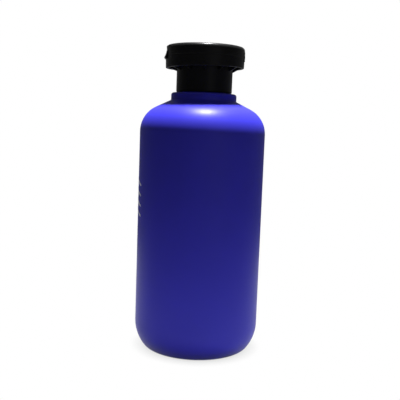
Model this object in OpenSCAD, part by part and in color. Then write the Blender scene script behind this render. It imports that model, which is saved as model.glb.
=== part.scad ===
// Body lotion bottle: a blow moulded bottle and a flip top closure that screws onto it.
// Millimetres. Z is the axis and the stand face is at Z 0. The printed front, where the thumb
// lifts the lid, faces -Y, and the closure's hinge is at +Y.

/* [Bottle body] */
// Outer radius of the straight side
body_r = 31; // [26:0.5:40]
// Length of the straight side, from the base corner to the shoulder
side_h = 95.1; // [60:0.1:140]
// Radius of the upper arc of the base corner
corner_r = 18.8; // [9:0.1:21]
// Radius of the heel, the tighter arc that runs into the stand face
heel_r = 4.2; // [3:0.1:8]
// Turn of the upper arc before the heel takes over, in degrees
corner_turn = 38; // [30:1:65]
// Width of the ring that the bottle stands on
stand_w = 1.8; // [1:0.1:3]
// Height of the hollow pushed up into the base
push_up_h = 2; // [1:0.1:4]
// Width of the slope between the stand ring and the hollow
push_up_slope_w = 4.5; // [2:0.1:7]
// Wall of the body, shoulder and base
bottle_wall = 1.1; // [0.7:0.05:2]

/* [Shoulder and collar] */
// Radius of the shoulder arc
shoulder_r = 13.6; // [9:0.1:14.5]
// Slope of the shoulder cone that follows it, in degrees
shoulder_slope = 26; // [15:1:35]
// Radius of the collar under the closure
collar_r = 16.15; // [14.5:0.05:17.5]
// Height of the collar at its edge
collar_h = 3.65; // [2:0.05:6]
// Rounding of the collar's top edge
collar_round = 1.2; // [0.3:0.05:1.5]

/* [Neck] */
// Outer radius of the neck, at the root of its thread
neck_r = 10.75; // [10.4:0.05:11]
// Radius of the neck's bore
neck_bore_r = 9.2; // [7:0.05:9.8]
// Height of the neck above the collar
neck_h = 16.5; // [14:0.1:22]
// Chamfer of the neck's mouth, inside and out
mouth_chamfer = 0.35; // [0.1:0.05:0.6]

/* [Seal washer] */
// Thickness of the foam washer
washer_t = 1; // [0.6:0.1:1.6]
// Radius of the washer's hole
washer_hole_r = 5; // [3:0.1:7]
// Clearance between the washer and the wall of the closure
washer_gap = 0.3; // [0.1:0.05:0.5]

/* [Closure skirt] */
// Outer radius of the skirt
skirt_r = 13.75; // [13.5:0.05:14.2]
// Wall of the skirt
skirt_wall = 1.45; // [1:0.05:1.6]
// Gap between the skirt and the collar when the closure is tight
skirt_gap = 0.4; // [0.2:0.05:0.8]
// Rounding of the skirt's lower edge
skirt_round = 0.35; // [0.1:0.05:0.5]

/* [Closure head] */
// Outer radius of the head and its lid
head_r = 19.4; // [18:0.1:21]
// Wall of the head and its lid
head_wall = 1.2; // [1:0.05:1.5]
// Depth of the head's wall below the seam
head_drop = 5.9; // [4.5:0.1:8]
// How much smaller the head's radius is at its lower rim
head_draft = 0.2; // [0:0.05:0.6]
// Chamfer of the head's lower rim
rim_chamfer = 0.3; // [0.1:0.05:0.5]
// Thickness of the deck
deck_t = 1.4; // [1:0.1:2]
// Step from the deck down to the ledge that the lid sits on
ledge_drop = 1.3; // [0.8:0.1:1.8]
// Gap between the deck's step and the wall of the lid
step_gap = 0.8; // [0.5:0.05:1.2]
// Number of gussets under the head
gusset_count = 12; // [6:1:18]
// Thickness of a gusset
gusset_t = 1; // [0.6:0.1:1.6]
// How far the gussets reach below the rim where they meet the skirt
gusset_drop = 1.3; // [0.5:0.1:2.5]
// How far above the rim the gussets meet the head's wall
gusset_inset = 0.4; // [0.2:0.1:1]

/* [Spout] */
// Radius of the spout
spout_r = 3.6; // [2.8:0.1:4.5]
// Height of the spout above the deck
spout_h = 2.2; // [1.6:0.1:2.4]
// Radius of the spout's bore
spout_bore_r = 1.75; // [1.2:0.05:2]
// Fillet around the spout's foot
spout_fillet = 0.9; // [0.4:0.1:1.2]

/* [Lid] */
// Height of the lid above the seam
lid_h = 5.1; // [4.6:0.1:7]
// Thickness of the lid's top
lid_top_t = 1.3; // [1:0.1:1.6]
// Rounding of the lid's upper edge
lid_round = 1.7; // [0.8:0.1:2.2]
// Chamfer of the lid and the head at their seam
seam_chamfer = 0.25; // [0.1:0.05:0.4]
// Clearance of the lid's plug in the spout
plug_gap = 0.25; // [0.2:0.05:0.4]
// How deep the plug reaches into the spout
plug_dip = 1.2; // [0.6:0.1:1.4]

/* [Thumb grip] */
// Half of the angle that the thumb groove spans, in degrees
groove_span = 32; // [22:1:45]
// Reach of the thumb groove below the seam
groove_down = 2.4; // [2:0.1:3.5]
// Height of the groove's deepest line above the seam
groove_mid = 2; // [0:0.1:3]
// Depth of the thumb groove
groove_depth = 0.5; // [0.2:0.05:0.7]
// Half of the angle that the thumb lip spans, in degrees
lip_span = 17; // [10:1:20]
// How far the lip's tip stands out of the head
lip_proud = 0.75; // [0.4:0.05:1]
// How far the lip hangs below the seam
lip_drop = 1.5; // [1:0.1:2.4]
// Thickness of the lip's lower edge
lip_edge = 0.3; // [0.1:0.05:0.4]
// Height above the seam where the lip's tip runs out into its ramp
lip_tip_h = 0.8; // [0.1:0.1:1]
// How far the lip's ramp reaches up the lid
lip_rise = 3; // [1.5:0.1:3.8]
// Clearance between the lip and the head behind it
lip_gap = 0.25; // [0.2:0.05:0.4]

/* [Hinge] */
// Depth of the hinge's flats below the round of the head
flat_in = 0.8; // [0.6:0.05:1]
// Thickness behind the flat in the closure
flat_back = 1.5; // [1:0.1:2]
// Reach of the hinge straps below the seam
strap_down = 2; // [1.2:0.1:3]
// Reach of the hinge straps above the seam
strap_up = 2.5; // [1.2:0.1:3]
// Clearance past the ends of the straps
strap_gap = 0.3; // [0.2:0.05:0.5]
// Width of the middle strap
strap_w = 4.4; // [3:0.1:5]
// Thickness of the middle strap
strap_t = 0.9; // [0.6:0.05:1.2]
// Width of each outer film
film_w = 1.6; // [1:0.1:2]
// Thickness of each outer film
film_t = 0.7; // [0.4:0.05:0.8]
// Gap between the middle strap and an outer film
film_gap = 0.7; // [0.4:0.05:1]

/* [Hidden] */

// Round faces and the steps of an arc in a profile
$fn = 128;
arc_steps = 16;
// Overlap of solids that are joined, and reach of a cut past the surface
bite = 0.2;
past = 3;

// The base corner: two arcs that meet where the surface has turned by corner_turn
corner_c = body_r - corner_r;
corner_z = corner_r * sin(corner_turn) + heel_r * (1 - sin(corner_turn));
foot_r = corner_c + (corner_r - heel_r) * cos(corner_turn);
stand_in_r = foot_r - stand_w;
push_up_r = stand_in_r - push_up_slope_w;

// The shoulder: one arc from the side, then a cone to the collar's foot
side_top_z = corner_z + side_h;
shoulder_c = body_r - shoulder_r;
shoulder_turn = 90 - shoulder_slope;
cone_r = shoulder_c + shoulder_r * cos(shoulder_turn);
cone_z = side_top_z + shoulder_r * sin(shoulder_turn);
collar_foot_z = cone_z + (cone_r - collar_r) * tan(shoulder_slope);
collar_z = collar_foot_z + collar_h;
mouth_z = collar_z + neck_h;

// The inside of the cone lies one wall below it, and runs up to the neck's bore
cone_in_r = shoulder_c + (shoulder_r - bottle_wall) * cos(shoulder_turn);
cone_in_z = side_top_z + (shoulder_r - bottle_wall) * sin(shoulder_turn);
bore_foot_z = cone_in_z + (cone_in_r - neck_bore_r) * tan(shoulder_slope);

// Heights in the closure, which seats through the washer on the bottle's mouth
skirt_in_r = skirt_r - skirt_wall;
skirt_z = collar_z + skirt_gap;
deck_z = mouth_z + washer_t;
deck_top_z = deck_z + deck_t;
seam_z = deck_top_z - ledge_drop;
ledge_z = seam_z - deck_t;
rim_z = seam_z - head_drop;
rim_r = head_r - head_draft;
step_r = head_r - head_wall - step_gap;
lid_top_z = seam_z + lid_h;
lid_under_z = lid_top_z - lid_top_t;
spout_top_z = deck_top_z + spout_h;
plug_r = spout_bore_r - plug_gap;
plug_z = spout_top_z - plug_dip;

// The groove's section is a circle that cuts groove_depth deep on its deepest line
groove_reach = groove_down + groove_mid;
groove_cut_r = (groove_reach ^ 2 + groove_depth ^ 2) / (2 * groove_depth);
groove_c = head_r - groove_depth + groove_cut_r;
lip_in_r = groove_c - sqrt(groove_cut_r ^ 2 - (groove_mid + lip_drop) ^ 2) + lip_gap;
lip_out_r = head_r + lip_proud;
lip_root_r = head_r - head_wall + bite;

// The flats that the hinge's straps lie on
flat_y = head_r - flat_in;
flat_half_w = sqrt(head_r ^ 2 - flat_y ^ 2);
lid_pad_y = (step_r + flat_y) / 2;

// Points along an arc about c, from one angle to another
function arc(c, r, from, to) =
    [for (i = [0 : arc_steps])
        let (a = from + (to - from) * i / arc_steps) [c[0] + r * cos(a), c[1] + r * sin(a)]];

// The bottle's outside, from the middle of the base to the mouth
bottle_outside = concat(
    [[0, push_up_h], [push_up_r, push_up_h], [stand_in_r, 0]],
    arc([foot_r, heel_r], heel_r, -90, -corner_turn),
    arc([corner_c, corner_z], corner_r, -corner_turn, 0),
    arc([shoulder_c, side_top_z], shoulder_r, 0, shoulder_turn),
    [[collar_r, collar_foot_z]],
    arc([collar_r - collar_round, collar_z - collar_round], collar_round, 0, 90),
    [[neck_r, collar_z], [neck_r, mouth_z - mouth_chamfer], [neck_r - mouth_chamfer, mouth_z]]
);

// Its inside, from the mouth back to the middle of the base
bottle_inside = concat(
    [[neck_bore_r + mouth_chamfer, mouth_z], [neck_bore_r, mouth_z - mouth_chamfer]],
    [[neck_bore_r, bore_foot_z]],
    arc([shoulder_c, side_top_z], shoulder_r - bottle_wall, shoulder_turn, 0),
    arc([corner_c, corner_z], corner_r - bottle_wall, 0, -corner_turn),
    arc([foot_r, heel_r], heel_r - bottle_wall, -corner_turn, -90),
    [[stand_in_r, bottle_wall], [push_up_r, push_up_h + bottle_wall], [0, push_up_h + bottle_wall]]
);

// The closure's section: skirt, deck, the head's outer wall and the spout
closure_section = concat(
    [[spout_bore_r, deck_z], [skirt_in_r, deck_z], [skirt_in_r, skirt_z]],
    arc([skirt_r - skirt_round, skirt_z + skirt_round], skirt_round, -90, 0),
    [[skirt_r, ledge_z], [head_r - head_wall, ledge_z], [rim_r - head_wall, rim_z]],
    [[rim_r - rim_chamfer, rim_z], [rim_r, rim_z + rim_chamfer]],
    [[head_r, seam_z - seam_chamfer], [head_r - seam_chamfer, seam_z], [step_r, seam_z]],
    [[step_r, deck_top_z - seam_chamfer], [step_r - seam_chamfer, deck_top_z]],
    arc([spout_r + spout_fillet, deck_top_z + spout_fillet], spout_fillet, -90, -180),
    [[spout_r, spout_top_z - seam_chamfer], [spout_r - seam_chamfer, spout_top_z]],
    [[spout_bore_r, spout_top_z]]
);

// The lid's section, with the plug that closes the spout
lid_section = concat(
    [[0, plug_z], [plug_r - plug_gap, plug_z], [plug_r, plug_z + plug_gap], [plug_r, lid_under_z]],
    [[head_r - head_wall - lid_round / 2, lid_under_z], [head_r - head_wall, lid_under_z - lid_round / 2]],
    [[head_r - head_wall, seam_z], [head_r - seam_chamfer, seam_z], [head_r, seam_z + seam_chamfer]],
    arc([head_r - lid_round, lid_top_z - lid_round], lid_round, 0, 90),
    [[0, lid_top_z]]
);

// The lip's section: a ramp down the lid that ends in a tip, which hangs in front of the head
lip_section = [
    [lip_in_r, seam_z - lip_drop],
    [lip_in_r + lip_edge, seam_z - lip_drop],
    [lip_out_r, seam_z - lip_drop * 0.62],
    [head_r, seam_z + lip_tip_h],
    [head_r - groove_depth, seam_z + lip_rise],
    [lip_root_r, seam_z + lip_rise],
    [lip_root_r, seam_z],
    [lip_in_r, seam_z]
];

// A turned sector that reaches half_angle to each side of the front
module front_sector(half_angle) {
    rotate([0, 0, -90 - half_angle]) rotate_extrude(angle = 2 * half_angle) children();
}

module thumb_groove() {
    front_sector(groove_span) translate([groove_c, seam_z + groove_mid]) circle(r = groove_cut_r);
}

// The space outside the flats, as tall as the straps and their clearance
module hinge_relief() {
    translate([-flat_half_w - past, flat_y, seam_z - strap_down - strap_gap])
        cube([2 * (flat_half_w + past), past, strap_down + strap_up + 2 * strap_gap]);
}

// A block behind a flat that keeps its wall thick, inside the round of the head
module flat_backing(from_y, from_z, to_z) {
    intersection() {
        translate([-flat_half_w, from_y, from_z])
            cube([2 * flat_half_w, flat_y - from_y, to_z - from_z]);
        translate([0, 0, from_z])
            cylinder(r = rim_r - head_wall / 2, h = to_z - from_z);
    }
}

module gusset(a) {
    rotate([90, 0, a]) linear_extrude(gusset_t, center = true) polygon([
        [skirt_r - bite, rim_z - gusset_drop],
        [skirt_r, rim_z - gusset_drop],
        [rim_r - head_wall + bite, rim_z + gusset_inset],
        [rim_r - head_wall + bite, ledge_z + bite],
        [skirt_r - bite, ledge_z + bite]
    ]);
}

module strap(x, w, t) {
    translate([x - w / 2, flat_y, seam_z - strap_down]) cube([w, t, strap_down + strap_up]);
}

module bottle() {
    color("#26246e") rotate_extrude() polygon(concat(bottle_outside, bottle_inside));
}

module seal_washer() {
    color("#e6e6e0") translate([0, 0, mouth_z]) difference() {
        cylinder(r = skirt_in_r - washer_gap, h = washer_t);
        translate([0, 0, -past]) cylinder(r = washer_hole_r, h = washer_t + 2 * past);
    }
}

module cap_base() {
    color("#16161a") difference() {
        union() {
            rotate_extrude() polygon(closure_section);
            for (i = [0 : gusset_count - 1]) gusset(360 * i / gusset_count);
            flat_backing(flat_y - flat_back, rim_z + rim_chamfer, seam_z);
        }
        thumb_groove();
        hinge_relief();
    }
}

module hinge_film() {
    color("#16161a") {
        strap(0, strap_w, strap_t);
        for (side = [-1, 1]) strap(side * (strap_w / 2 + film_gap + film_w / 2), film_w, film_t);
    }
}

module flip_lid() {
    color("#16161a") {
        difference() {
            union() {
                rotate_extrude() polygon(lid_section);
                flat_backing(lid_pad_y, seam_z, lid_under_z + bite);
            }
            thumb_groove();
            hinge_relief();
        }
        front_sector(lip_span) polygon(lip_section);
    }
}

bottle();
seal_washer();
cap_base();
hinge_film();
flip_lid();
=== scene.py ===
"""The looks of a body lotion bottle: a satin blue bottle under a black flip top closure.

Lengths are written in millimetres and turned into metres as each mesh is made. Z is the bottle's
axis, the printed front faces -Y and the lid's hinge is at +Y.
"""
from math import atan2, cos, degrees, pi, radians, sin, sqrt, tan

import bmesh
import bpy
import numpy as np
from mathutils import Matrix, Vector


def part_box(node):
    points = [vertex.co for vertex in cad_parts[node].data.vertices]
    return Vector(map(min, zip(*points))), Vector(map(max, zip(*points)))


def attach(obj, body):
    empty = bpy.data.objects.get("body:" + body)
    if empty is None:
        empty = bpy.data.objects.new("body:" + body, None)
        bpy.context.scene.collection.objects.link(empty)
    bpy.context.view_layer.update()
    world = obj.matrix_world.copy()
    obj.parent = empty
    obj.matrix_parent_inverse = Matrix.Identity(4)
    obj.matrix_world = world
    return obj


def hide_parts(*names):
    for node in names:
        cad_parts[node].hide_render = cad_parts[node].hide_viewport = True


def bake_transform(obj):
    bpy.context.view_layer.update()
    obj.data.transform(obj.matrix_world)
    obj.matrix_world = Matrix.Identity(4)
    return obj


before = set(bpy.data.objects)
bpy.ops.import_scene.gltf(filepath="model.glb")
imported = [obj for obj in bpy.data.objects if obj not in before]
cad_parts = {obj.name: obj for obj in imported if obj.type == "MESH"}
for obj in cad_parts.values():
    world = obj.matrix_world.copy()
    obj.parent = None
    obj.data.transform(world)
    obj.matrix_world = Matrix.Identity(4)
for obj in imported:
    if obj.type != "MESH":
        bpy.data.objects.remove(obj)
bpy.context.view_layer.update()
MM = 0.001

# Bottle body and shoulder, as in the model
BODY_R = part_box("bottle")[1].x / MM
SIDE_H = 95.1
CORNER_R = 18.8
HEEL_R = 4.2
CORNER_TURN = 38
STAND_W = 1.8
PUSH_UP_H = 2.0
PUSH_UP_SLOPE_W = 4.5
BOTTLE_WALL = 1.1
SHOULDER_R = 13.6
SHOULDER_SLOPE = 26
COLLAR_R = 16.15
COLLAR_H = 3.65
COLLAR_ROUND = 1.2
COLLAR_FOOT_ROUND = 0.35
PINCH_W = 0.9
PINCH_DEPTH = 0.35

# Neck and its thread
NECK_R = 10.75
NECK_BORE_R = 9.2
MOUTH_ROUND = 0.4
MOUTH_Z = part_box("bottle")[1].z / MM
THREAD_LEAD = 3.175
THREAD_TURNS = 1.5
THREAD_TOP = 2.2
NECK_CREST_R = 11.85
CAP_CREST_R = 11.2
THREAD_FOOT_W = 1.7
THREAD_CREST_W = 0.8
THREAD_TURN_STEPS = 96
THREAD_RUN_OUT_TURNS = 1 / 6

# Seal washer
WASHER_HOLE_R = 5.0
WASHER_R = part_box("seal_washer")[1].x / MM
WASHER_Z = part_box("seal_washer")[0].z / MM
WASHER_TOP_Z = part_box("seal_washer")[1].z / MM
WASHER_ROUND = 0.2

# Closure: skirt, deck, head and spout
SKIRT_R = 13.75
SKIRT_WALL = 1.45
SKIRT_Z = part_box("cap_base")[0].z / MM
DECK_Z = WASHER_TOP_Z
DECK_T = 1.4
LEDGE_DROP = 1.3
SEAM_Z = DECK_Z + DECK_T - LEDGE_DROP
LEDGE_Z = SEAM_Z - DECK_T
HEAD_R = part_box("flip_lid")[1].x / MM
HEAD_WALL = 1.2
HEAD_DROP = 5.9
HEAD_DRAFT = 0.2
RIM_RISE = 0.9
STEP_GAP = 0.8
GUSSETS = 12
GUSSET_T = 1.0
GUSSET_DROP = 1.3
GUSSET_INSET = 0.4
SPOUT_R = 3.6
SPOUT_H = 2.2
SPOUT_BORE_R = 1.75
SPOUT_FILLET = 0.9

# Lid
LID_TOP_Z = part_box("flip_lid")[1].z / MM
LID_TOP_T = 1.3
LID_ROUND = 1.7
SEAM_ROUND = 0.22
PLUG_GAP = 0.25
PLUG_DIP = 1.2

# Thumb groove and lip
GROOVE_SPAN = 32
GROOVE_DOWN = 2.4
GROOVE_MID = 2.0
GROOVE_DEPTH = 0.5
GROOVE_EDGE = 0.6
LIP_SPAN = 17
LIP_PROUD = 0.75
LIP_DROP = 1.5
LIP_EDGE = 0.3
LIP_TIP_H = 0.8
LIP_KNEE = 0.62
LIP_RISE = 3.0
LIP_GAP = 0.25

# Hinge
FLAT_Y = HEAD_R - 0.8
STRAP_DOWN = 2.0
STRAP_UP = 2.5
STRAP_GAP = 0.3
STRAP_W = 4.4
STRAP_T = 0.9
FILM_W = 1.6
FILM_T = 0.7
FILM_GAP = 0.7
FILM_THIN = 0.35
BOW_T = 0.5

# Heights and radii that follow
CORNER_C = BODY_R - CORNER_R
CORNER_Z = CORNER_R * sin(radians(CORNER_TURN)) + HEEL_R * (1 - sin(radians(CORNER_TURN)))
FOOT_R = CORNER_C + (CORNER_R - HEEL_R) * cos(radians(CORNER_TURN))
STAND_IN_R = FOOT_R - STAND_W
PUSH_UP_R = STAND_IN_R - PUSH_UP_SLOPE_W
SIDE_TOP_Z = CORNER_Z + SIDE_H
SHOULDER_C = BODY_R - SHOULDER_R
SHOULDER_TURN = 90 - SHOULDER_SLOPE
CONE_R = SHOULDER_C + SHOULDER_R * cos(radians(SHOULDER_TURN))
CONE_Z = SIDE_TOP_Z + SHOULDER_R * sin(radians(SHOULDER_TURN))
COLLAR_FOOT_Z = CONE_Z + (CONE_R - COLLAR_R) * tan(radians(SHOULDER_SLOPE))
COLLAR_Z = COLLAR_FOOT_Z + COLLAR_H
CONE_IN_R = SHOULDER_C + (SHOULDER_R - BOTTLE_WALL) * cos(radians(SHOULDER_TURN))
CONE_IN_Z = SIDE_TOP_Z + (SHOULDER_R - BOTTLE_WALL) * sin(radians(SHOULDER_TURN))
BORE_FOOT_Z = CONE_IN_Z + (CONE_IN_R - NECK_BORE_R) * tan(radians(SHOULDER_SLOPE))
SKIRT_IN_R = SKIRT_R - SKIRT_WALL
RIM_Z = SEAM_Z - HEAD_DROP
RIM_R = HEAD_R - HEAD_DRAFT
HEAD_IN_R = HEAD_R - HEAD_WALL
STEP_R = HEAD_IN_R - STEP_GAP
DECK_TOP_Z = DECK_Z + DECK_T
SPOUT_TOP_Z = DECK_TOP_Z + SPOUT_H
LID_UNDER_Z = LID_TOP_Z - LID_TOP_T
PLUG_R = SPOUT_BORE_R - PLUG_GAP
PLUG_Z = SPOUT_TOP_Z - PLUG_DIP
GROOVE_REACH = GROOVE_DOWN + GROOVE_MID
GROOVE_CUT_R = (GROOVE_REACH ** 2 + GROOVE_DEPTH ** 2) / (2 * GROOVE_DEPTH)
GROOVE_C = HEAD_R - GROOVE_DEPTH + GROOVE_CUT_R
LIP_IN_R = GROOVE_C - sqrt(GROOVE_CUT_R ** 2 - (GROOVE_MID + LIP_DROP) ** 2) + LIP_GAP
LIP_OUT_R = HEAD_R + LIP_PROUD
FLAT_LOW_Z = SEAM_Z - STRAP_DOWN - STRAP_GAP
FLAT_HIGH_Z = SEAM_Z + STRAP_UP + STRAP_GAP

# How far a piece reaches into the piece that it grows from
BITE = 0.2


# Sections and turned meshes


def arc(c, r, start, end, steps=24):
    """Points on an arc about c, between two angles in degrees."""
    turns = np.radians(np.linspace(start, end, steps + 1))
    return [(c[0] + r * cos(t), c[1] + r * sin(t)) for t in turns]


def between(p, q, steps):
    """Points evenly spaced from p to q, both left out."""
    return [(p[0] + (q[0] - p[0]) * k / steps, p[1] + (q[1] - p[1]) * k / steps)
            for k in range(1, steps)]


def rounded(corners, steps=4):
    """A closed outline from corners (r, z) or (r, z, radius), with those radii as arcs."""
    out = []
    for k, corner in enumerate(corners):
        p = Vector(corner[:2])
        radius = corner[2] if len(corner) > 2 else 0
        if not radius:
            out.append(tuple(p))
            continue
        before = Vector(corners[k - 1][:2]) - p
        after = Vector(corners[(k + 1) % len(corners)][:2]) - p
        half = before.angle(after) / 2
        back = min(radius / tan(half), 0.48 * before.length, 0.48 * after.length)
        radius = back * tan(half)
        centre = p + (before.normalized() + after.normalized()).normalized() * (radius / sin(half))
        first = p + before.normalized() * back - centre
        last = p + after.normalized() * back - centre
        start = atan2(first.y, first.x)
        turn = (atan2(last.y, last.x) - start + pi) % (2 * pi) - pi
        out += [(centre.x + radius * cos(start + turn * i / steps),
                 centre.y + radius * sin(start + turn * i / steps)) for i in range(steps + 1)]
    return out


def even_angles(count):
    """Evenly spaced angles once round, in radians."""
    return np.linspace(0, 2 * pi, count, endpoint=False)


def head_angles():
    """Angles for the head's turned meshes, closer together at the groove's and the flats' ends."""
    front, back = radians(-90), radians(90)
    ends = [front + side * (radians(GROOVE_SPAN) + step * radians(GROOVE_EDGE) / 4)
            for side in (-1, 1) for step in range(-4, 3)]
    flat_half = atan2(sqrt(HEAD_R ** 2 - FLAT_Y ** 2), FLAT_Y)
    flats = [back + flat_half * share for share in np.linspace(-1, 1, 13)]
    angles = np.sort(np.concatenate([even_angles(180), np.array(ends + flats) % (2 * pi)]))
    keep = np.concatenate([[True], np.diff(angles) > radians(0.1)])
    return angles[keep]


def ease(t):
    """From 0 to 1 as t does, with a smooth start and end, and level outside that range."""
    t = min(1.0, max(0.0, t))
    return t * t * (3 - 2 * t)


def add_object(name, data):
    """A new object in the scene."""
    obj = bpy.data.objects.new(name, data)
    bpy.context.scene.collection.objects.link(obj)
    return obj


def mesh_object(name, verts, faces, crease=40):
    """A mesh in metres from points in millimetres, with outward normals and smooth shading."""
    bm = bmesh.new()
    made = [bm.verts.new(Vector(v) * MM) for v in verts]
    for f in faces:
        bm.faces.new([made[i] for i in f])
    bmesh.ops.remove_doubles(bm, verts=bm.verts, dist=1e-8)
    bmesh.ops.recalc_face_normals(bm, faces=bm.faces)
    mesh = bpy.data.meshes.new(name)
    bm.to_mesh(mesh)
    bm.free()
    mesh.polygons.foreach_set("use_smooth", [True] * len(mesh.polygons))
    mesh.set_sharp_from_angle(angle=radians(crease))
    return add_object(name, mesh)


def turned(name, section, angles, closed=True, shape=None, crease=40):
    """Turns a section about the axis. shape(r, z, angle) may move each point of it."""
    sec = np.array(section)
    rows = []
    for a in angles:
        r, z = (sec[:, 0], sec[:, 1]) if shape is None else shape(sec[:, 0], sec[:, 1], a)
        rows.append(np.column_stack([r * cos(a), r * sin(a), z]))
    n, m = len(sec), len(angles)
    faces = [(i * n + k, (i + 1) % m * n + k, (i + 1) % m * n + (k + 1) % n, i * n + (k + 1) % n)
             for i in range(m) for k in range(n if closed else n - 1)]
    if not closed:
        faces = [merge_poles(f, sec, n) for f in faces]
    return mesh_object(name, np.vstack(rows), faces, crease)


def merge_poles(face, sec, n):
    """A quad that ends on the axis, as a triangle."""
    on_axis = [i for i in face if sec[i % n, 0] < 1e-9]
    return tuple(i for i in face if i not in on_axis[1:])


def swept(name, rings, crease=40):
    """A closed tube through rings of points, with a cap on each end."""
    n = len(rings[0])
    faces = [(i * n + k, (i + 1) * n + k, (i + 1) * n + (k + 1) % n, i * n + (k + 1) % n)
             for i in range(len(rings) - 1) for k in range(n)]
    faces += [tuple(range(n)), tuple(range((len(rings) - 1) * n, len(rings) * n))]
    return mesh_object(name, [p for ring in rings for p in ring], faces, crease)


def front_sector(name, section, half_angle, steps=24):
    """A closed section turned only from half_angle on one side of the front to the other."""
    angles = np.radians(np.linspace(-90 - half_angle, -90 + half_angle, steps + 1))
    return swept(name, [[(r * cos(a), r * sin(a), z) for r, z in section] for a in angles])


def joined(obj, others):
    """Puts the meshes of others into obj, as one piece."""
    bm = bmesh.new()
    for o in [obj, *others]:
        bm.from_mesh(o.data)
    bm.to_mesh(obj.data)
    bm.free()
    for o in others:
        bpy.data.objects.remove(o)
    return obj


# Bottle


def bottle_section():
    """From the axis under the base, up the outside, over the mouth and down the inside."""
    outside = [(0, PUSH_UP_H)] + between((0, PUSH_UP_H), (PUSH_UP_R, PUSH_UP_H), 8)
    outside += rounded([(0, PUSH_UP_H), (PUSH_UP_R, PUSH_UP_H, 2.5), (STAND_IN_R, 0, 1.2),
                        (FOOT_R, 0)])[1:-1]
    outside += arc((FOOT_R, HEEL_R), HEEL_R, -90, -CORNER_TURN)
    outside += arc((CORNER_C, CORNER_Z), CORNER_R, -CORNER_TURN, 0)[1:]
    outside += between((BODY_R, CORNER_Z), (BODY_R, SIDE_TOP_Z), 24)
    outside += arc((SHOULDER_C, SIDE_TOP_Z), SHOULDER_R, 0, SHOULDER_TURN, 36)
    outside += between(outside[-1], (COLLAR_R, COLLAR_FOOT_Z), 8)
    neck = rounded([(CONE_R, CONE_Z), (COLLAR_R, COLLAR_FOOT_Z, COLLAR_FOOT_ROUND),
                    (COLLAR_R, COLLAR_Z, COLLAR_ROUND), (NECK_R, COLLAR_Z, 0.4),
                    (NECK_R, MOUTH_Z, MOUTH_ROUND), (NECK_BORE_R, MOUTH_Z, MOUTH_ROUND),
                    (NECK_BORE_R, BORE_FOOT_Z, 1.5), (CONE_IN_R, CONE_IN_Z)], steps=6)[1:-1]
    inside = arc((SHOULDER_C, SIDE_TOP_Z), SHOULDER_R - BOTTLE_WALL, SHOULDER_TURN, 0)
    inside += arc((CORNER_C, CORNER_Z), CORNER_R - BOTTLE_WALL, 0, -CORNER_TURN)
    inside += arc((FOOT_R, HEEL_R), HEEL_R - BOTTLE_WALL, -CORNER_TURN, -90)[1:]
    inside += [(STAND_IN_R, BOTTLE_WALL), (PUSH_UP_R, PUSH_UP_H + BOTTLE_WALL)]
    return outside + neck + inside + [(0, PUSH_UP_H + BOTTLE_WALL)]


def thread(name, root_r, crest_r, low_z):
    """A right-handed thread ridge on a wall of root_r, whose ends run out into the wall."""
    steps = int(THREAD_TURN_STEPS * THREAD_TURNS)
    inward = 1 if root_r > crest_r else -1
    rings = []
    for i in range(steps + 1):
        t = i / steps
        turn = 2 * pi * THREAD_TURNS * t
        z = low_z + THREAD_LEAD * THREAD_TURNS * t
        rise = ease(min(t, 1 - t) * THREAD_TURNS / THREAD_RUN_OUT_TURNS)
        crest = root_r + (crest_r - root_r) * max(rise, 0.02)
        root = root_r + inward * BITE
        foot, top = THREAD_FOOT_W / 2, THREAD_CREST_W / 2
        profile = [(root, -foot), (root, foot), (root_r, foot), ((root_r + 3 * crest) / 4, top * 1.15),
                   (crest, top * 0.8), (crest, -top * 0.8), ((root_r + 3 * crest) / 4, -top * 1.15),
                   (root_r, -foot)]
        rings.append([(r * cos(turn), r * sin(turn), z + dz) for r, dz in profile])
    return swept(name, rings, crease=50)


def pinch_line():
    """The weld that the mould leaves across the hollow of the base."""
    half_l = 0.8 * PUSH_UP_R
    half_w = PINCH_W / 2
    rings = []
    for x in np.linspace(-half_l, half_l, 25):
        fade = sqrt(max(0.0, 1 - (x / half_l) ** 4))
        low = PUSH_UP_H - PINCH_DEPTH * fade
        rings.append([(x, -half_w, PUSH_UP_H + BITE), (x, half_w, PUSH_UP_H + BITE),
                      (x, half_w * 0.8, low + 0.1), (x, half_w * 0.3, low),
                      (x, -half_w * 0.3, low), (x, -half_w * 0.8, low + 0.1)])
    return swept("pinch_line", rings)


def make_bottle():
    """The bottle's shell, with the pinch line in its base."""
    shell = turned("bottle_shell", bottle_section(), even_angles(200), closed=False)
    return joined(shell, [pinch_line()])


def make_washer():
    """The foam ring between the bottle's mouth and the closure's deck."""
    section = rounded([(WASHER_HOLE_R, WASHER_Z, WASHER_ROUND), (WASHER_R, WASHER_Z, WASHER_ROUND),
                       (WASHER_R, WASHER_TOP_Z, WASHER_ROUND),
                       (WASHER_HOLE_R, WASHER_TOP_Z, WASHER_ROUND)])
    return turned("foam_washer", section, even_angles(120))


# Closure


def groove_radius(z):
    """The radius of the thumb groove's floor at a height."""
    off = np.clip(np.abs(z - SEAM_Z - GROOVE_MID), 0, GROOVE_REACH)
    return GROOVE_C - np.sqrt(GROOVE_CUT_R ** 2 - off ** 2)


def rim_lift(angle):
    """How much higher the head's slanting rim is at an angle than at the front."""
    return RIM_RISE * (1 + sin(angle)) / 2


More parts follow.
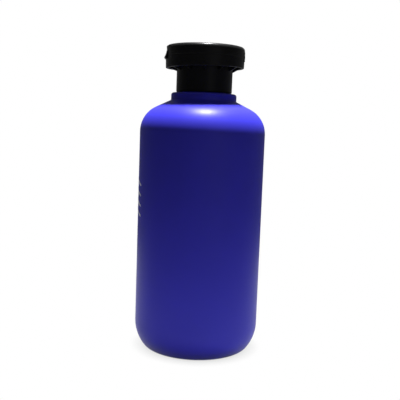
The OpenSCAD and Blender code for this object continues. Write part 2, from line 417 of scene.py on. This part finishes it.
def head_shape(r, z, angle):
    """Cuts the thumb groove and the hinge's flats into the head's skin, and slants its rim."""
    skin = r > HEAD_IN_R + BITE
    from_front = abs((degrees(angle) + 90 + 180) % 360 - 180)
    share = ease((GROOVE_SPAN - from_front) / GROOVE_EDGE + 0.5)
    cut = np.maximum(r - groove_radius(z), 0) * share
    out = np.where(skin, r - cut, r)
    if sin(angle) > 0:
        flat = FLAT_Y / sin(angle)
        out = np.where(skin & (z > FLAT_LOW_Z) & (z < FLAT_HIGH_Z), np.minimum(out, flat), out)
    slant_z = FLAT_LOW_Z - 0.3
    below = np.clip((slant_z - z) / (slant_z - RIM_Z), 0, 1)
    return out, z + np.where(r > SKIRT_R + 1, rim_lift(angle) * below, 0)


def wall_points(low, high, breaks, steps=22):
    """Heights up the head's wall, with a close pair at each height where a flat begins or ends."""
    zs = list(np.linspace(low, high, steps + 1)[1:-1])
    zs += [b + side * 0.04 for b in breaks for side in (-1, 1)]
    return sorted(z for z in zs if low < z < high)


def base_section():
    """From the spout's bore out under the deck, round the skirt and head, and in to the spout."""
    wall = wall_points(RIM_Z + 0.4, SEAM_Z - 0.3, [FLAT_LOW_Z])
    lean = [(RIM_R + HEAD_DRAFT * (z - RIM_Z) / HEAD_DROP, z) for z in wall]
    return rounded([
        (SPOUT_BORE_R, DECK_Z, 0.15), (SKIRT_IN_R, DECK_Z, 0.3), (SKIRT_IN_R, SKIRT_Z, 0.3),
        (SKIRT_R, SKIRT_Z, 0.35), (SKIRT_R, LEDGE_Z, 0.4), (HEAD_IN_R, LEDGE_Z, 0.3),
        (RIM_R - HEAD_WALL, RIM_Z, 0.25), (RIM_R, RIM_Z, 0.35), *lean,
        (HEAD_R, SEAM_Z, SEAM_ROUND), (STEP_R, SEAM_Z, 0.12), (STEP_R, DECK_TOP_Z, 0.35),
        (SPOUT_R, DECK_TOP_Z, SPOUT_FILLET), (SPOUT_R, SPOUT_TOP_Z, 0.3),
        (SPOUT_BORE_R, SPOUT_TOP_Z, 0.25)])


def gusset(index):
    """A rib between the skirt and the head's wall, with a rounded lower edge."""
    turn = 2 * pi * index / GUSSETS
    inner, outer = SKIRT_R - BITE, RIM_R - HEAD_WALL + BITE
    top = LEDGE_Z + BITE
    rings = []
    for share in np.linspace(0, 1, 9):
        r = inner + (outer - inner) * share
        low = RIM_Z - GUSSET_DROP + (GUSSET_DROP + GUSSET_INSET + rim_lift(turn)) * share
        across = [(-0.5, top), (-0.5, low + 0.3), (-0.25, low), (0.25, low), (0.5, low + 0.3),
                  (0.5, top)]
        rings.append([(r * cos(turn) - w * GUSSET_T * sin(turn),
                       r * sin(turn) + w * GUSSET_T * cos(turn), z) for w, z in across])
    return swept(f"gusset_{index}", rings)


def make_closure_base():
    """Skirt, deck, spout and head in one, with the gussets under the head."""
    base = turned("closure_base", base_section(), head_angles(), shape=head_shape, crease=35)
    return joined(base, [gusset(i) for i in range(GUSSETS)])


def lid_section():
    """From the plug's tip out under the lid, down to the seam, up its wall and over its top."""
    wall = wall_points(SEAM_Z + 0.3, LID_TOP_Z - LID_ROUND, [FLAT_HIGH_Z])
    corners = [(0, PLUG_Z), (PLUG_R, PLUG_Z, 0.45), (PLUG_R, LID_UNDER_Z, 0.4),
               (HEAD_IN_R, LID_UNDER_Z, 0.85), (HEAD_IN_R, SEAM_Z, 0.12),
               (HEAD_R, SEAM_Z, SEAM_ROUND), *[(HEAD_R, z) for z in wall]]
    top = arc((HEAD_R - LID_ROUND, LID_TOP_Z - LID_ROUND), LID_ROUND, 0, 90, 10)
    inner_top = between(top[-1], (0, LID_TOP_Z), 6)
    return rounded(corners) + top + inner_top + [(0, LID_TOP_Z)]


def make_lid():
    """The lid with its plug and the thumb lip."""
    lid = turned("lid", lid_section(), head_angles(), closed=False, shape=head_shape, crease=35)
    lip = rounded([(LIP_IN_R, SEAM_Z - LIP_DROP, 0.1),
                   (LIP_IN_R + LIP_EDGE, SEAM_Z - LIP_DROP, 0.12),
                   (LIP_OUT_R, SEAM_Z - LIP_KNEE * LIP_DROP, 0.15),
                   (HEAD_R, SEAM_Z + LIP_TIP_H, 0.6),
                   (HEAD_R - GROOVE_DEPTH, SEAM_Z + LIP_RISE, 0.1),
                   (HEAD_IN_R + BITE, SEAM_Z + LIP_RISE), (HEAD_IN_R + BITE, SEAM_Z + 0.05),
                   (LIP_IN_R, SEAM_Z + 0.05, 0.05)])
    return joined(lid, [front_sector("lip", lip, LIP_SPAN)])


def strap(name, x, width, outer, inner):
    """A hinge strap: outer and inner give its two faces' distance out of the flat, by height."""
    rings = []
    for z in np.linspace(-STRAP_DOWN, STRAP_UP, 41):
        low, high = FLAT_Y + inner(z), FLAT_Y + outer(z)
        half, edge = width / 2, min(0.12, (high - low) / 3)
        rings.append([(x - half, low, SEAM_Z + z), (x + half, low, SEAM_Z + z),
                      (x + half, high - edge, SEAM_Z + z), (x + half - edge, high, SEAM_Z + z),
                      (x - half + edge, high, SEAM_Z + z), (x - half, high - edge, SEAM_Z + z)])
    return swept(name, rings)


def film_outer(z):
    """Thin at the hinge line, thicker where the film runs into the closure and the lid."""
    return FILM_THIN + (FILM_T - FILM_THIN) * ease((abs(z) - 0.5) / 0.9)


def bow_outer(z):
    """The middle strap bows outwards between its two roots."""
    t = (z + STRAP_DOWN) / (STRAP_DOWN + STRAP_UP)
    return BOW_T + (STRAP_T - BOW_T) * sin(pi * t) ** 0.7


def bow_inner(z):
    """The strap's back, which stays BOW_T behind its face and rests on the flat at the roots."""
    return max(0, bow_outer(z) - BOW_T)


def make_hinge():
    """The middle strap and a film on each side of it."""
    middle = strap("hinge_straps", 0, STRAP_W, bow_outer, bow_inner)
    side = STRAP_W / 2 + FILM_GAP + FILM_W / 2
    films = [strap("film", s * side, FILM_W, film_outer, lambda z: 0) for s in (-1, 1)]
    return joined(middle, films)


# Print: plain slanted stripes and rules, in ink a little proud of the bottle's side

PRINT_SPAN = 21.3
INK_T = 0.05
STRIPE_TOPS = [90.1, 85.0, 80.0, 75.1]
STRIPE_H = 1.0
STRIPE_FALL = 7.5
RULE_TOPS = [60.4, 57.2, 54.0]
RULE_SHARES = [0.5, 0.5, 0.3]
RULE_H = 0.5


def ink_band(name, half_angle, top, height, fall):
    """A band of ink on the front whose right end lies lower than its left end by fall."""
    rings = []
    for share in np.linspace(0, 1, 25):
        a = radians(-90 - half_angle + 2 * half_angle * share)
        z = top - fall * share
        section = [(BODY_R - BITE, z - height), (BODY_R + INK_T, z - height),
                   (BODY_R + INK_T, z), (BODY_R - BITE, z)]
        rings.append([(r * cos(a), r * sin(a), h) for r, h in section])
    return swept(name, rings)


def make_print():
    """All the ink, as one piece."""
    bands = [ink_band(f"stripe_{i}", PRINT_SPAN, top, STRIPE_H, STRIPE_FALL)
             for i, top in enumerate(STRIPE_TOPS)]
    bands += [ink_band(f"rule_{i}", PRINT_SPAN * share, top, RULE_H, 0)
              for i, (top, share) in enumerate(zip(RULE_TOPS, RULE_SHARES))]
    first = joined(bands[0], bands[1:])
    first.name = "front_print"
    return first


# Materials


def new_material(name):
    """A material with only a Principled shader, and that shader and the node tree."""
    mat = bpy.data.materials.new(name)
    mat.use_nodes = True
    tree = mat.node_tree
    return mat, tree, tree.nodes["Principled BSDF"]


def noise(tree, scale, detail=2.0, roughness=0.5):
    """Noise in the part's own space, with scale in features per metre."""
    coords = tree.nodes.new("ShaderNodeTexCoord")
    tex = tree.nodes.new("ShaderNodeTexNoise")
    tex.inputs["Scale"].default_value = scale
    tex.inputs["Detail"].default_value = detail
    tex.inputs["Roughness"].default_value = roughness
    tree.links.new(coords.outputs["Object"], tex.inputs["Vector"])
    return tex.outputs["Fac"]


def mapped(tree, value, source, target):
    """Maps a value from the range source onto the range target."""
    node = tree.nodes.new("ShaderNodeMapRange")
    node.inputs["From Min"].default_value = source[0]
    node.inputs["From Max"].default_value = source[1]
    node.inputs["To Min"].default_value = target[0]
    node.inputs["To Max"].default_value = target[1]
    tree.links.new(value, node.inputs["Value"])
    return node.outputs["Result"]


def spread(tree, value, low, high):
    """Maps noise, which mostly lies between 0.3 and 0.7, onto low to high."""
    return mapped(tree, value, (0.3, 0.7), (low, high))


def mixed(tree, factor, a, b):
    """A colour between a and b."""
    node = tree.nodes.new("ShaderNodeMix")
    node.data_type = "RGBA"
    node.inputs["A"].default_value = (*a, 1)
    node.inputs["B"].default_value = (*b, 1)
    tree.links.new(factor, node.inputs["Factor"])
    return node.outputs["Result"]


def bumps(tree, shader, layers):
    """Bump from several noises, each (height output, depth in millimetres)."""
    normal = None
    for height, depth in layers:
        node = tree.nodes.new("ShaderNodeBump")
        node.inputs["Distance"].default_value = depth * MM
        tree.links.new(height, node.inputs["Height"])
        if normal is not None:
            tree.links.new(normal, node.inputs["Normal"])
        normal = node.outputs["Normal"]
    tree.links.new(normal, shader.inputs["Normal"])


def bottle_plastic():
    """Deep blue with a satin sheen, a little cloudy, with faint waves from the mould."""
    mat, tree, shader = new_material("bottle_plastic")
    cloud = spread(tree, noise(tree, 18, 3), 0, 1)
    tree.links.new(mixed(tree, cloud, (0.0325, 0.0305, 0.43), (0.0355, 0.0325, 0.46)),
                   shader.inputs["Base Color"])
    tree.links.new(spread(tree, noise(tree, 900, 2), 0.37, 0.44), shader.inputs["Roughness"])
    shader.inputs["Specular IOR Level"].default_value = 0.12
    bumps(tree, shader, [(noise(tree, 45, 1), 0.06), (noise(tree, 2600, 2), 0.004)])
    return mat


def cap_plastic():
    """Satin black."""
    mat, tree, shader = new_material("cap_plastic")
    cloud = spread(tree, noise(tree, 60, 3), 0, 1)
    tree.links.new(mixed(tree, cloud, (0.0075, 0.0075, 0.0078), (0.0095, 0.0095, 0.0098)),
                   shader.inputs["Base Color"])
    tree.links.new(spread(tree, noise(tree, 1200, 2), 0.28, 0.36), shader.inputs["Roughness"])
    shader.inputs["Specular IOR Level"].default_value = 0.09
    bumps(tree, shader, [(noise(tree, 120, 1), 0.03), (noise(tree, 3200, 2), 0.005)])
    return mat


def washer_foam():
    """Off-white foam with small cells."""
    mat, tree, shader = new_material("washer_foam")
    cells = noise(tree, 2800, 3, 0.6)
    tree.links.new(mixed(tree, spread(tree, cells, 0, 1), (0.70, 0.70, 0.66), (0.82, 0.82, 0.79)),
                   shader.inputs["Base Color"])
    shader.inputs["Roughness"].default_value = 0.8
    bumps(tree, shader, [(cells, 0.06)])
    return mat


def print_ink():
    """Pale ink, slightly uneven."""
    mat, tree, shader = new_material("print_ink")
    worn = spread(tree, noise(tree, 1500, 3, 0.6), 0, 1)
    tree.links.new(mixed(tree, worn, (0.74, 0.75, 0.80), (0.86, 0.87, 0.90)),
                   shader.inputs["Base Color"])
    shader.inputs["Roughness"].default_value = 0.5
    bumps(tree, shader, [(noise(tree, 2500, 2), 0.004)])
    return mat


def finish_piece(obj, material, body=None, stands_for=None):
    """Gives a piece its material and slot, the body it rides on and the node it replaces."""
    obj.data.materials.clear()
    obj.data.materials.append(material)
    if body:
        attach(obj, body)
    if stands_for:
        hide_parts(stands_for)


# Camera at the photograph's angle: in front of the right-hand side, with a slight roll

CAMERA_FAR = 327.6
CAMERA_HIGH = 113.3
CAMERA_DOWN = radians(6.73)
CAMERA_ROLL = radians(2.11)
CAMERA_LENS = 58.88


def make_camera():
    """Looks along -X and a little down, leaned to its left about its line of sight."""
    data = bpy.data.cameras.new("camera")
    data.lens = CAMERA_LENS
    data.sensor_width = 36
    cam = add_object("camera", data)
    ahead = Vector((-cos(CAMERA_DOWN), 0, -sin(CAMERA_DOWN)))
    right = Vector((0, 1, 0))
    up = right.cross(ahead)
    leaned = up * cos(CAMERA_ROLL) - right * sin(CAMERA_ROLL)
    across = ahead.cross(leaned)
    cam.matrix_world = Matrix.Translation(Vector((CAMERA_FAR, 0, CAMERA_HIGH)) * MM) @ Matrix(
        (across, leaned, -ahead)).transposed().to_4x4()
    bpy.context.scene.camera = cam


# Studio, in metres and watts: a pale floor, a small lamp overhead, a panel beside the camera and
# a dimly glowing drum of card around the set

FLOOR_R = 6.0
# Painted shade: the floor card's colour, darker where the object stands close, and how far that
# darkening reaches
FLOOR_CARD_PAINTED_SHADE = (0.2, 0.6)
FLOOR_CARD_PAINTED_SHADE_REACH = 0.05
FLOOR_SHADES = (0.72, 1.0)
FLOOR_SHADE_REACH = 0.011
WORLD_LIGHT = 0.05
DRUM_R = 0.26
DRUM_H = 0.55
DRUM_SIDES = 96
DRUM_GLOWS = (0.19, 0.09)
KEY_PLACE = (-0.014, 0.016, 0.48)
KEY_AIM = (-0.012, 0.012, 0.12)
KEY_SIZE = 0.045
KEY_WATTS = 0.46
KEY_SPREAD = radians(44)
PANEL_TURN = radians(27)
PANEL_FAR = 0.25
PANEL_Z = 0.15
PANEL_AIM = (0, 0, 0.13)
PANEL_W = 0.17
PANEL_H = 0.3
PANEL_WATTS = 0.055


def seen_directly(tree):
    """1 for rays that show the background: the camera's, a mirror's and those through glass."""
    path = tree.nodes.new("ShaderNodeLightPath")
    total = path.outputs["Is Camera Ray"]
    for other in ("Is Glossy Ray", "Is Transmission Ray"):
        add = tree.nodes.new("ShaderNodeMath")
        add.operation = "MAXIMUM"
        tree.links.new(total, add.inputs[0])
        tree.links.new(path.outputs[other], add.inputs[1])
        total = add.outputs[0]
    return total


def make_world():
    """White to look at, and a faint light from all round."""
    world = bpy.data.worlds.new("studio")
    bpy.context.scene.world = world
    world.use_nodes = True
    tree = world.node_tree
    tree.nodes.clear()
    strength = mapped(tree, seen_directly(tree), (0, 1), (WORLD_LIGHT, 1))
    background = tree.nodes.new("ShaderNodeBackground")
    background.inputs["Color"].default_value = (1, 1, 1, 1)
    tree.links.new(strength, background.inputs["Strength"])
    out = tree.nodes.new("ShaderNodeOutputWorld")
    tree.links.new(background.outputs[0], out.inputs["Surface"])


def stage_material(name):
    """A material with only an output, and its node tree and that output's surface."""
    mat = bpy.data.materials.new(name)
    mat.use_nodes = True
    tree = mat.node_tree
    tree.nodes.clear()
    return mat, tree, tree.nodes.new("ShaderNodeOutputMaterial").inputs["Surface"]


def openness(tree, reach):
    """1 in the open, less where something stands within reach."""
    node = tree.nodes.new("ShaderNodeAmbientOcclusion")
    node.inputs["Distance"].default_value = reach
    return node.outputs["AO"]


def glowing(tree, strength):
    """White emission of a strength that comes from another node."""
    node = tree.nodes.new("ShaderNodeEmission")
    tree.links.new(strength, node.inputs["Strength"])
    return node.outputs[0]


def make_floor():
    """White to look at, darker where the object shades it, and a pale card to the lamps, painted
    darker near the object as painted shade.
    """
    bm = bmesh.new()
    bmesh.ops.create_circle(bm, cap_ends=True, segments=96, radius=FLOOR_R)
    mesh = bpy.data.meshes.new("floor")
    bm.to_mesh(mesh)
    bm.free()
    floor = add_object("floor", mesh)
    mat, tree, surface = stage_material("floor")
    card = tree.nodes.new("ShaderNodeBsdfDiffuse")
    # painted shade: the card is coloured darker near the object, which dims the light it throws back
    # onto the bottle's base
    card_painted_shade = mapped(tree, openness(tree, FLOOR_CARD_PAINTED_SHADE_REACH), (0.3, 0.85), FLOOR_CARD_PAINTED_SHADE)
    tree.links.new(card_painted_shade, card.inputs["Color"])
    shade = mapped(tree, openness(tree, FLOOR_SHADE_REACH), (0.1, 0.7), FLOOR_SHADES)
    mix = tree.nodes.new("ShaderNodeMixShader")
    tree.links.new(seen_directly(tree), mix.inputs["Fac"])
    tree.links.new(card.outputs[0], mix.inputs[1])
    tree.links.new(glowing(tree, shade), mix.inputs[2])
    tree.links.new(mix.outputs[0], surface)
    floor.data.materials.append(mat)


def make_drum():
    """Dimly glowing card around the set, dimmer on the camera's side and hidden from the camera."""
    n = DRUM_SIDES
    ring = [(DRUM_R * cos(a), DRUM_R * sin(a)) for a in even_angles(n)]
    verts = [(x, y, z) for z in (0.001, DRUM_H) for x, y in ring]
    mesh = bpy.data.meshes.new("drum")
    mesh.from_pydata(verts, [], [(i, (i + 1) % n, n + (i + 1) % n, n + i) for i in range(n)])
    drum = add_object("drum", mesh)
    mat, tree, surface = stage_material("drum")
    place = tree.nodes.new("ShaderNodeTexCoord")
    parts = tree.nodes.new("ShaderNodeSeparateXYZ")
    tree.links.new(place.outputs["Object"], parts.inputs[0])
    level = mapped(tree, parts.outputs["X"], (-DRUM_R, 0.5 * DRUM_R), DRUM_GLOWS)
    tree.links.new(glowing(tree, level), surface)
    drum.data.materials.append(mat)
    drum.visible_camera = False
    drum.visible_shadow = False


def area_light(name, place, aim, size, watts):
    """A lamp with a face of size (width, height) that the camera doesn't see."""
    data = bpy.data.lights.new(name, "AREA")
    data.shape = "RECTANGLE"
    data.size, data.size_y = size
    data.energy = watts
    lamp = add_object(name, data)
    lamp.location = place
    lamp.rotation_mode = "QUATERNION"
    lamp.rotation_quaternion = (Vector(aim) - Vector(place)).to_track_quat("-Z", "Y")
    lamp.visible_camera = False
    return lamp


def make_lights():
    """A narrow key almost straight above, and a weak panel to the right of the camera."""
    key = area_light("key", KEY_PLACE, KEY_AIM, (KEY_SIZE, KEY_SIZE), KEY_WATTS)
    key.data.spread = KEY_SPREAD
    place = (PANEL_FAR * cos(PANEL_TURN), PANEL_FAR * sin(PANEL_TURN), PANEL_Z)
    area_light("side_panel", place, PANEL_AIM, (PANEL_W, PANEL_H), PANEL_WATTS)


def main():
    """Makes every piece, then the camera and the studio."""
    blue, black, foam, white = bottle_plastic(), cap_plastic(), washer_foam(), print_ink()
    finish_piece(make_bottle(), blue, "bottle", "bottle")
    low = MOUTH_Z - THREAD_TOP - THREAD_LEAD * THREAD_TURNS
    finish_piece(thread("neck_thread", NECK_R, NECK_CREST_R, low), blue, "bottle")
    finish_piece(make_print(), white, "bottle")
    finish_piece(make_washer(), foam, "washer", "seal_washer")
    finish_piece(make_closure_base(), black, "closure", "cap_base")
    inner = thread("closure_thread", SKIRT_IN_R, CAP_CREST_R, low + THREAD_LEAD / 2)
    finish_piece(inner, black, "closure")
    finish_piece(make_lid(), black, "lid", "flip_lid")
    hinge = make_hinge()
    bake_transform(hinge)
    finish_piece(hinge, black, stands_for="hinge_film")
    make_camera()
    make_world()
    make_floor()
    make_drum()
    make_lights()
    bpy.context.scene.view_settings.view_transform = "Standard"


main()
